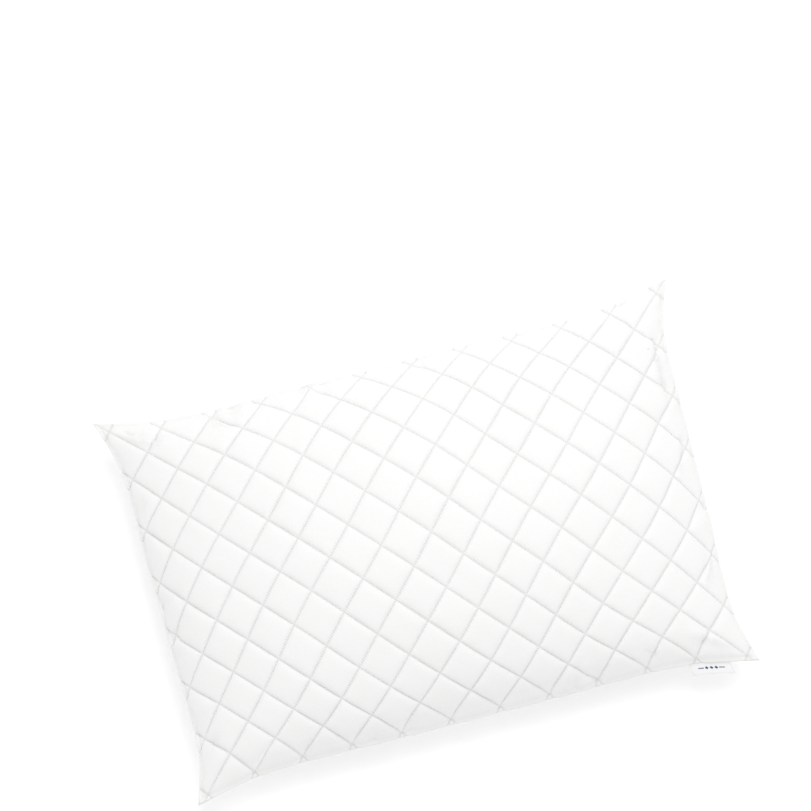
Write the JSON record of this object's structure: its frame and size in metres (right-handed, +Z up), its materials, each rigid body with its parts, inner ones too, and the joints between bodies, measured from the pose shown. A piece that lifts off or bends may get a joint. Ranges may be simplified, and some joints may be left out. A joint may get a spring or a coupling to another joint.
{
  "type": "bed pillow",
  "caption": "Soft rectangular bed pillow in a diamond-quilted white cover with a sewn knife-edge seam, pointed corners and a small folded label.",
  "frame": {"origin": "on the bed plane that the pillow lies on, under the middle of the pillow", "axes": "+X along the long side, towards the end that has the label beside it; +Y across, towards the long side without the label; +Z up through the crown"},
  "size_m": [0.722, 0.4968, 0.1505],
  "materials": {
    "face_fabric": "soft matt white microfibre",
    "wadding": "matt white fibre wadding",
    "backing_cloth": "matt white non-woven cloth",
    "thread": "white sewing thread",
    "fibre_fill": "loose white fibre",
    "label_tape": "satin woven tape",
    "label_motif": "dark blue woven thread"
  },
  "bodies": {
    "root": {"top_face_fabric": "face_fabric", "bottom_face_fabric": "face_fabric", "top_wadding": "wadding", "bottom_wadding": "wadding", "top_backing": "backing_cloth", "bottom_backing": "backing_cloth", "top_quilting_thread": "thread", "bottom_quilting_thread": "thread", "top_bobbin_thread": "thread", "bottom_bobbin_thread": "thread", "seam_allowance": "face_fabric", "seam_lockstitch_thread": "thread", "seam_overlock_thread": "thread", "closing_stitch_thread": "thread", "fibre_fill": "fibre_fill", "label_tape": "label_tape", "label_motif": "label_motif"}
  },
  "joints": []
}
